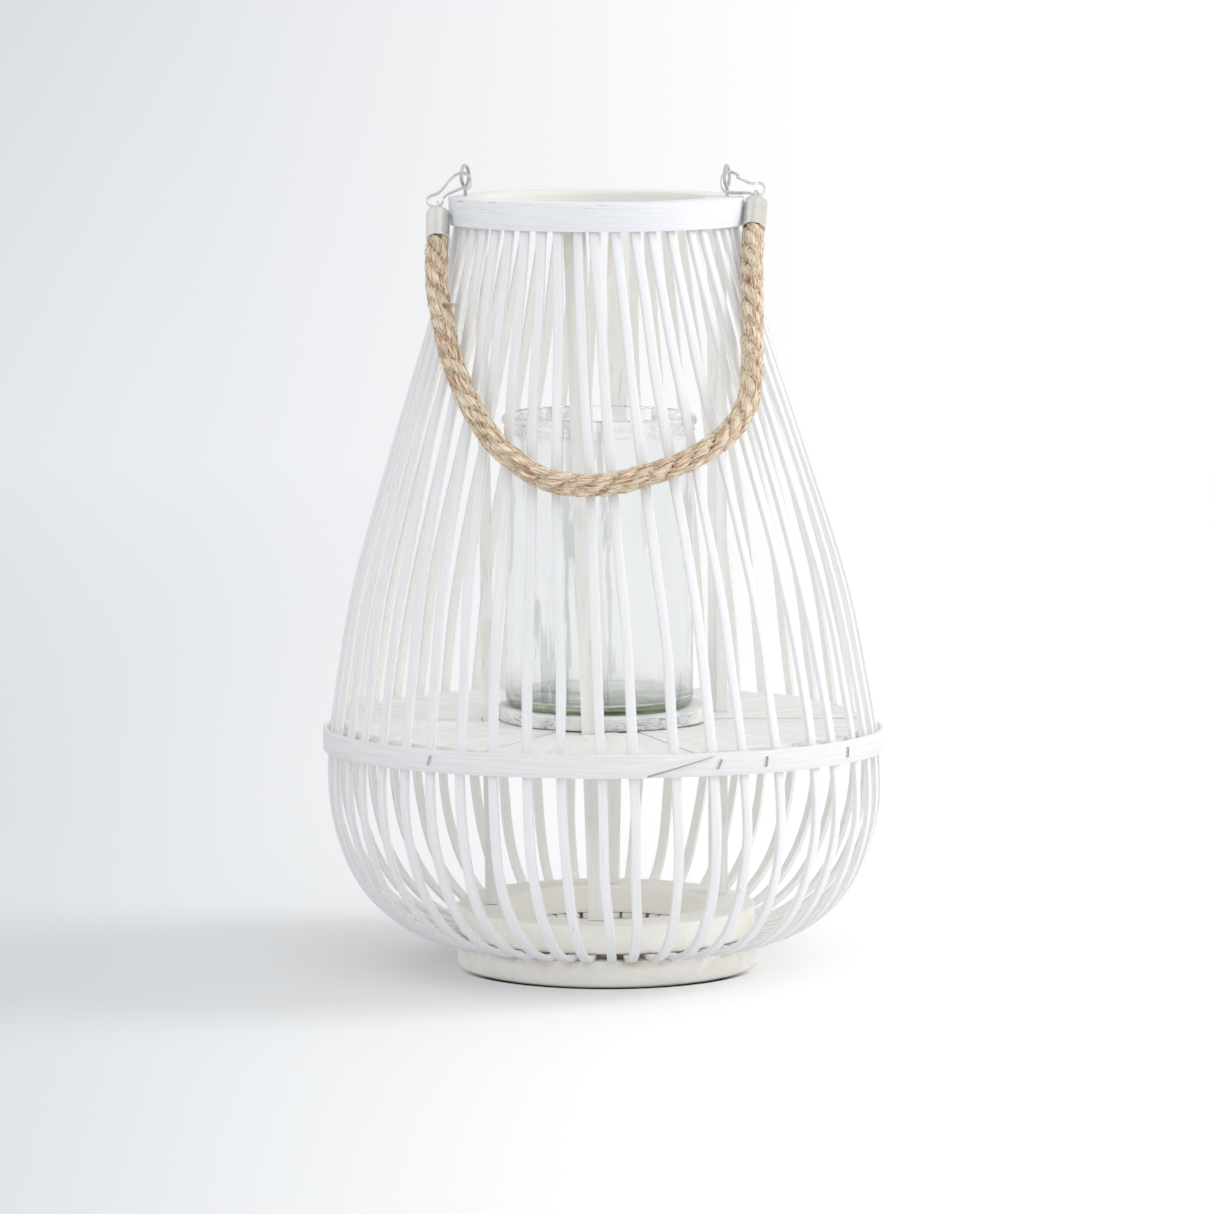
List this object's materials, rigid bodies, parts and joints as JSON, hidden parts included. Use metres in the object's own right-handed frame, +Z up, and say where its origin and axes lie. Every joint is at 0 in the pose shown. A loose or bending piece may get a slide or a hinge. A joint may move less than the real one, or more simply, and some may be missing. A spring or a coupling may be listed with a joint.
{
  "type": "hurricane candle lantern",
  "caption": "Pear-shaped lantern of whitewashed bamboo ribs between wooden rings, with a lift-out glass cylinder and a swinging rope handle.",
  "frame": {"origin": "middle of the foot ring's underside, on the floor; the middle of the whole box is within 2 mm of it, because the cage leans a little toward -X", "axes": "+Z up along the lantern's axis; the front is -Y, the side the handle hangs down; +X is to the right seen from the front"},
  "size_m": [0.2903, 0.2924, 0.4145],
  "materials": {
    "whitewashed_bamboo": "matt, streaky white wash over bamboo",
    "whitewashed_wood": "matt white wash with brown stains",
    "whitewashed_board": "matt white wash over open grain",
    "jute_rope": "natural jute, fuzzy",
    "nickel_plate": "satin nickel plate",
    "zinc_wire": "bright zinc plate",
    "staple_steel": "dull grey staple wire",
    "clear_glass": "clear, faintly green, wavy"
  },
  "bodies": {
    "lantern": {"top_ring": "whitewashed_wood", "top_band": "whitewashed_bamboo", "foot_ring": "whitewashed_wood", "base_ring_upper": "whitewashed_wood", "rib_pair_01": "whitewashed_bamboo", "rib_pair_02": "whitewashed_bamboo", "rib_pair_03": "whitewashed_bamboo", "rib_pair_04": "whitewashed_bamboo", "rib_pair_05": "whitewashed_bamboo", "rib_pair_06": "whitewashed_bamboo", "rib_pair_07": "whitewashed_bamboo", "rib_pair_08": "whitewashed_bamboo", "rib_pair_09": "whitewashed_bamboo", "rib_pair_10": "whitewashed_bamboo", "rib_pair_11": "whitewashed_bamboo", "rib_pair_12": "whitewashed_bamboo", "rib_pair_13": "whitewashed_bamboo", "rib_pair_14": "whitewashed_bamboo", "rib_pair_15": "whitewashed_bamboo", "rib_pair_16": "whitewashed_bamboo", "rib_pair_17": "whitewashed_bamboo", "rib_pair_18": "whitewashed_bamboo", "rib_pair_19": "whitewashed_bamboo", "rib_pair_20": "whitewashed_bamboo", "rib_pair_21": "whitewashed_bamboo", "rib_pair_22": "whitewashed_bamboo", "rib_pair_23": "whitewashed_bamboo", "rib_pair_24": "whitewashed_bamboo", "hoop_outer": "whitewashed_bamboo", "hoop_inner": "whitewashed_bamboo", "staple_1": "staple_steel", "staple_2": "staple_steel", "staple_3": "staple_steel", "staple_4": "staple_steel", "post_front": "whitewashed_wood", "post_right": "whitewashed_wood", "post_rear": "whitewashed_wood", "post_left": "whitewashed_wood", "shelf_board_1": "whitewashed_board", "shelf_board_2": "whitewashed_board", "shelf_board_3": "whitewashed_board", "shelf_board_4": "whitewashed_board", "shelf_board_5": "whitewashed_board", "shelf_board_6": "whitewashed_board", "shelf_board_7": "whitewashed_board", "shelf_board_8": "whitewashed_board", "shelf_board_9": "whitewashed_board", "glass_seat": "whitewashed_wood", "screw_eye_left": "zinc_wire", "screw_eye_right": "zinc_wire"},
    "glass": {"hurricane_glass": "clear_glass"},
    "handle": {"rope": "jute_rope", "snap_clip_left": "nickel_plate", "snap_clip_right": "nickel_plate", "ferrule_eyelet_left": "nickel_plate", "ferrule_eyelet_right": "nickel_plate", "ferrule_left": "nickel_plate", "ferrule_right": "nickel_plate"},
    "gate_left": {"clip_gate_left": "nickel_plate"},
    "gate_right": {"clip_gate_right": "nickel_plate"}
  },
  "joints": [
    {"name": "handle_swing", "type": "hinge", "parent": "lantern", "child": "handle", "pos_m": [0, 0, 0.4083], "axis": [-1, 0, 0], "range_deg": [0, 283.2]},
    {"name": "glass_lift", "type": "slide", "parent": "lantern", "child": "glass", "axis": [0, 0, 1], "range_m": [0, 0.275]},
    {"name": "clip_gate_left_spring", "type": "hinge", "parent": "handle", "child": "gate_left", "pos_m": [-0.08358, -0.00863, 0.39741], "axis": [0, -0.7837, 0.6211], "range_deg": [0, 3.5]},
    {"name": "clip_gate_right_spring", "type": "hinge", "parent": "handle", "child": "gate_right", "pos_m": [0.07632, -0.00292, 0.40462], "axis": [0, -0.7837, 0.6211], "range_deg": [0, 14]}
  ]
}
